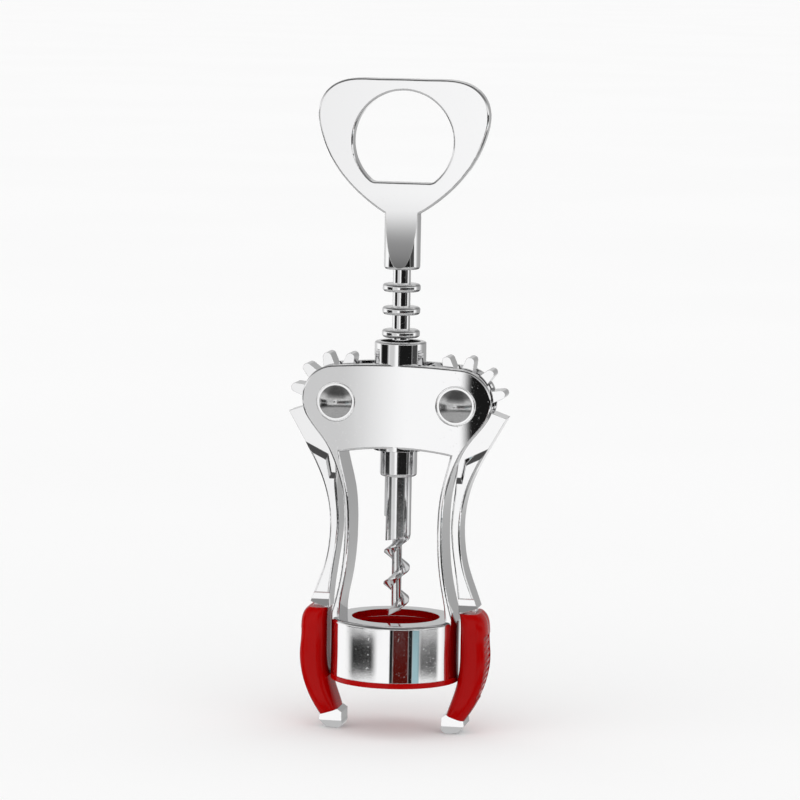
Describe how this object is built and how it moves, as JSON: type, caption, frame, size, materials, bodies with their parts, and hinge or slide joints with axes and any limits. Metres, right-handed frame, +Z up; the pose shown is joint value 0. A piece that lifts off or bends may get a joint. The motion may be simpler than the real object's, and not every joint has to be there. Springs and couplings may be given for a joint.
{
  "type": "wing corkscrew",
  "caption": "Wing corkscrew: two geared levers with grips drive a ringed rack and worm through a bell frame, under a flat handle with a crown-cap opening.",
  "frame": {"origin": "centre of the bell's mouth, on the bore's axis, in the plane of the liner's bottom face", "axes": "+Z up along the worm's axis to the handle, +X to the right lever seen from the front, -Y to the front"},
  "size_m": [0.0656, 0.0384, 0.1946],
  "materials": {
    "chrome_casting": "mirror-polished chrome plate over a zinc casting",
    "rivet_steel": "satin steel, domed and lightly tumbled",
    "washer_steel": "bright plated steel washer",
    "worm_steel": "bright plated steel with a slightly rough cut screw",
    "steel_pin": "plain ground steel pin",
    "red_plastic": "glossy deep red moulded plastic",
    "bush_plastic": "matt dark bearing plastic"
  },
  "bodies": {
    "frame": {"frame_casting": "chrome_casting", "bottle_liner": "red_plastic", "pivot_pin_left": "rivet_steel", "pivot_pin_right": "rivet_steel", "rear_rivet_cap_left": "rivet_steel", "rear_rivet_cap_right": "rivet_steel", "front_washer_left": "washer_steel", "front_washer_right": "washer_steel", "rear_washer_left": "washer_steel", "rear_washer_right": "washer_steel"},
    "lever_left": {"lever_left": "chrome_casting", "grip_left": "red_plastic"},
    "lever_right": {"lever_right": "chrome_casting", "grip_right": "red_plastic"},
    "bush": {"guide_bush": "bush_plastic"},
    "spindle": {"rack_spindle": "chrome_casting", "opener_handle": "chrome_casting", "handle_pin": "steel_pin", "worm": "worm_steel", "worm_pin": "steel_pin"}
  },
  "joints": [
    {"name": "lever_left_hinge", "type": "hinge", "parent": "frame", "child": "lever_left", "pos_m": [-0.018, 0, 0.0832], "axis": [0, 1, 0], "range_deg": [0, 120]},
    {"name": "lever_right_hinge", "type": "hinge", "parent": "frame", "child": "lever_right", "pos_m": [0.018, 0, 0.0832], "axis": [0, -1, 0], "range_deg": [0, 120]},
    {"name": "handle_turn", "type": "hinge", "parent": "frame", "child": "bush", "pos_m": [0, 0, 0.0972], "axis": [0, 0, 1], "continuous": true},
    {"name": "spindle_slide", "type": "slide", "parent": "bush", "child": "spindle", "axis": [0, 0, -1], "range_m": [0, 0.02723]}
  ],
  "couplings": [
    {"joint": "lever_right_hinge", "follows": "lever_left_hinge", "ratio": 1},
    {"joint": "spindle_slide", "follows": "lever_left_hinge", "m_per_rad": 0.013}
  ]
}
